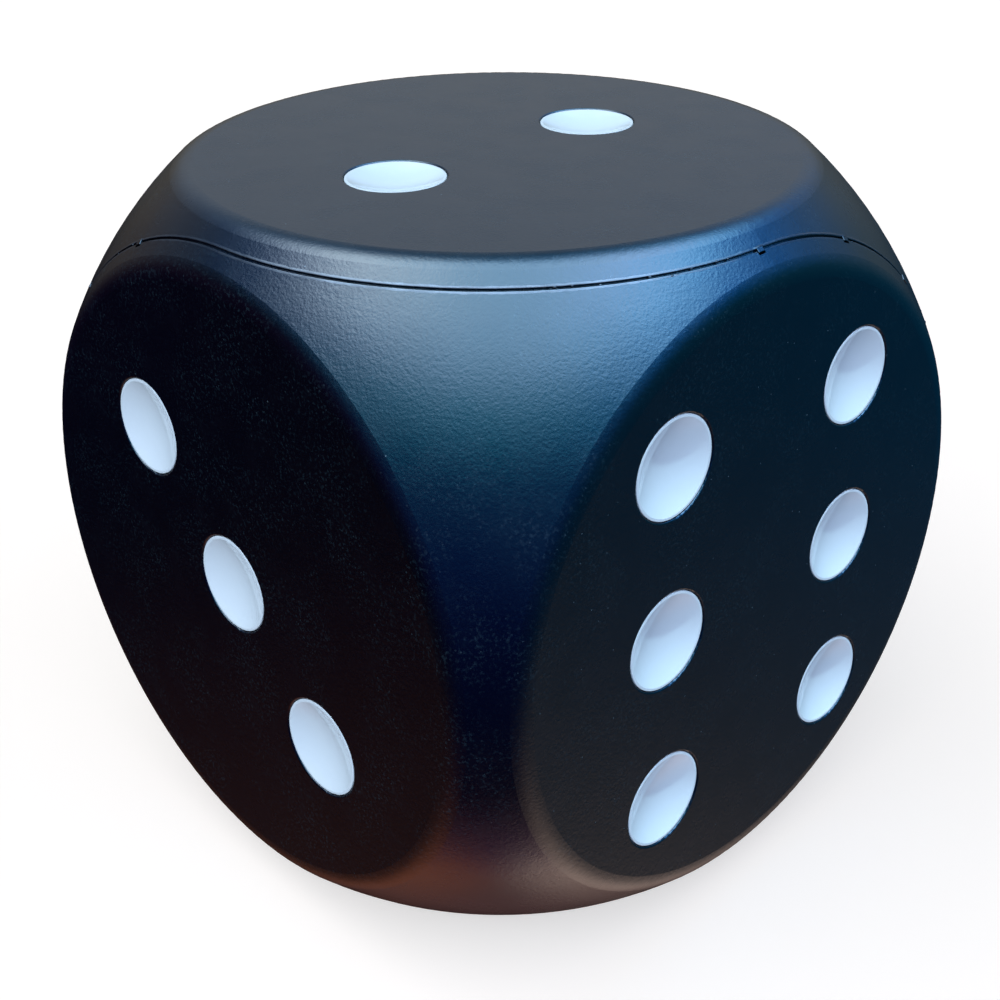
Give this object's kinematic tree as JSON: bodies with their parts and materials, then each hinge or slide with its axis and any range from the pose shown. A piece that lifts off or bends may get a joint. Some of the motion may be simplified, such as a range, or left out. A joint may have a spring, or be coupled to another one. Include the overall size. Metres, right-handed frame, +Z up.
{
  "type": "giant yard die",
  "caption": "Large hollow lawn-game die: a cube rounded by a sphere, with a wavy seam between its black half shells and dished white pip caps let into its round flats.",
  "frame": {"origin": "centre of the face with five pips, which the die rests on, at the bottom of its box", "axes": "+Z up through the face with two pips; +X out of the face with six pips; +Y out of the face with four pips, and -Y out of the face with three"},
  "size_m": [0.3048, 0.3048, 0.3048],
  "materials": {
    "black_body": "satin black moulded polyethylene with a fine sandblasted grain, slight dust in the grain",
    "white_pip": "polished white injection-moulded plastic"
  },
  "bodies": {
    "root": {"upper_half_shell": "black_body", "lower_half_shell": "black_body", "pip_one_centre": "white_pip", "pip_two_front": "white_pip", "pip_two_back": "white_pip", "pip_three_top_left": "white_pip", "pip_three_bottom_right": "white_pip", "pip_three_centre": "white_pip", "pip_four_top_left": "white_pip", "pip_four_bottom_right": "white_pip", "pip_four_top_right": "white_pip", "pip_four_bottom_left": "white_pip", "pip_five_top_left": "white_pip", "pip_five_bottom_right": "white_pip", "pip_five_top_right": "white_pip", "pip_five_bottom_left": "white_pip", "pip_five_centre": "white_pip", "pip_six_top_left": "white_pip", "pip_six_top_right": "white_pip", "pip_six_middle_left": "white_pip", "pip_six_middle_right": "white_pip", "pip_six_bottom_left": "white_pip", "pip_six_bottom_right": "white_pip"}
  },
  "joints": []
}
